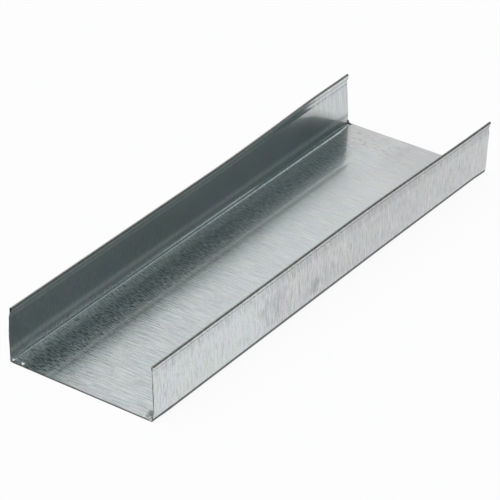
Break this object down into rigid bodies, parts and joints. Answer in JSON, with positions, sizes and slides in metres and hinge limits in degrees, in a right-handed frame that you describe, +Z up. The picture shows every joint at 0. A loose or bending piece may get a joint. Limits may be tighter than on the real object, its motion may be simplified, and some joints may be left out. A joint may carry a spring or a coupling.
{
  "type": "drywall track",
  "caption": "U-shaped sheet-steel drywall track with a flat web and hemmed, toed-in flanges; fixed to a floor or ceiling, it holds the ends of wall studs.",
  "frame": {"origin": "centre of the web's underside, at mid-length and mid-width", "axes": "+X across the web, +Y along the length towards the end where the flanges open outward, +Z up from the web towards the flange edges"},
  "size_m": [0.0958, 0.3048, 0.0321],
  "materials": {
    "galvanised_sheet": "hot-dip galvanised sheet, satin, with fine streaks across the length"
  },
  "bodies": {
    "root": {"track_channel": "galvanised_sheet"}
  },
  "joints": []
}
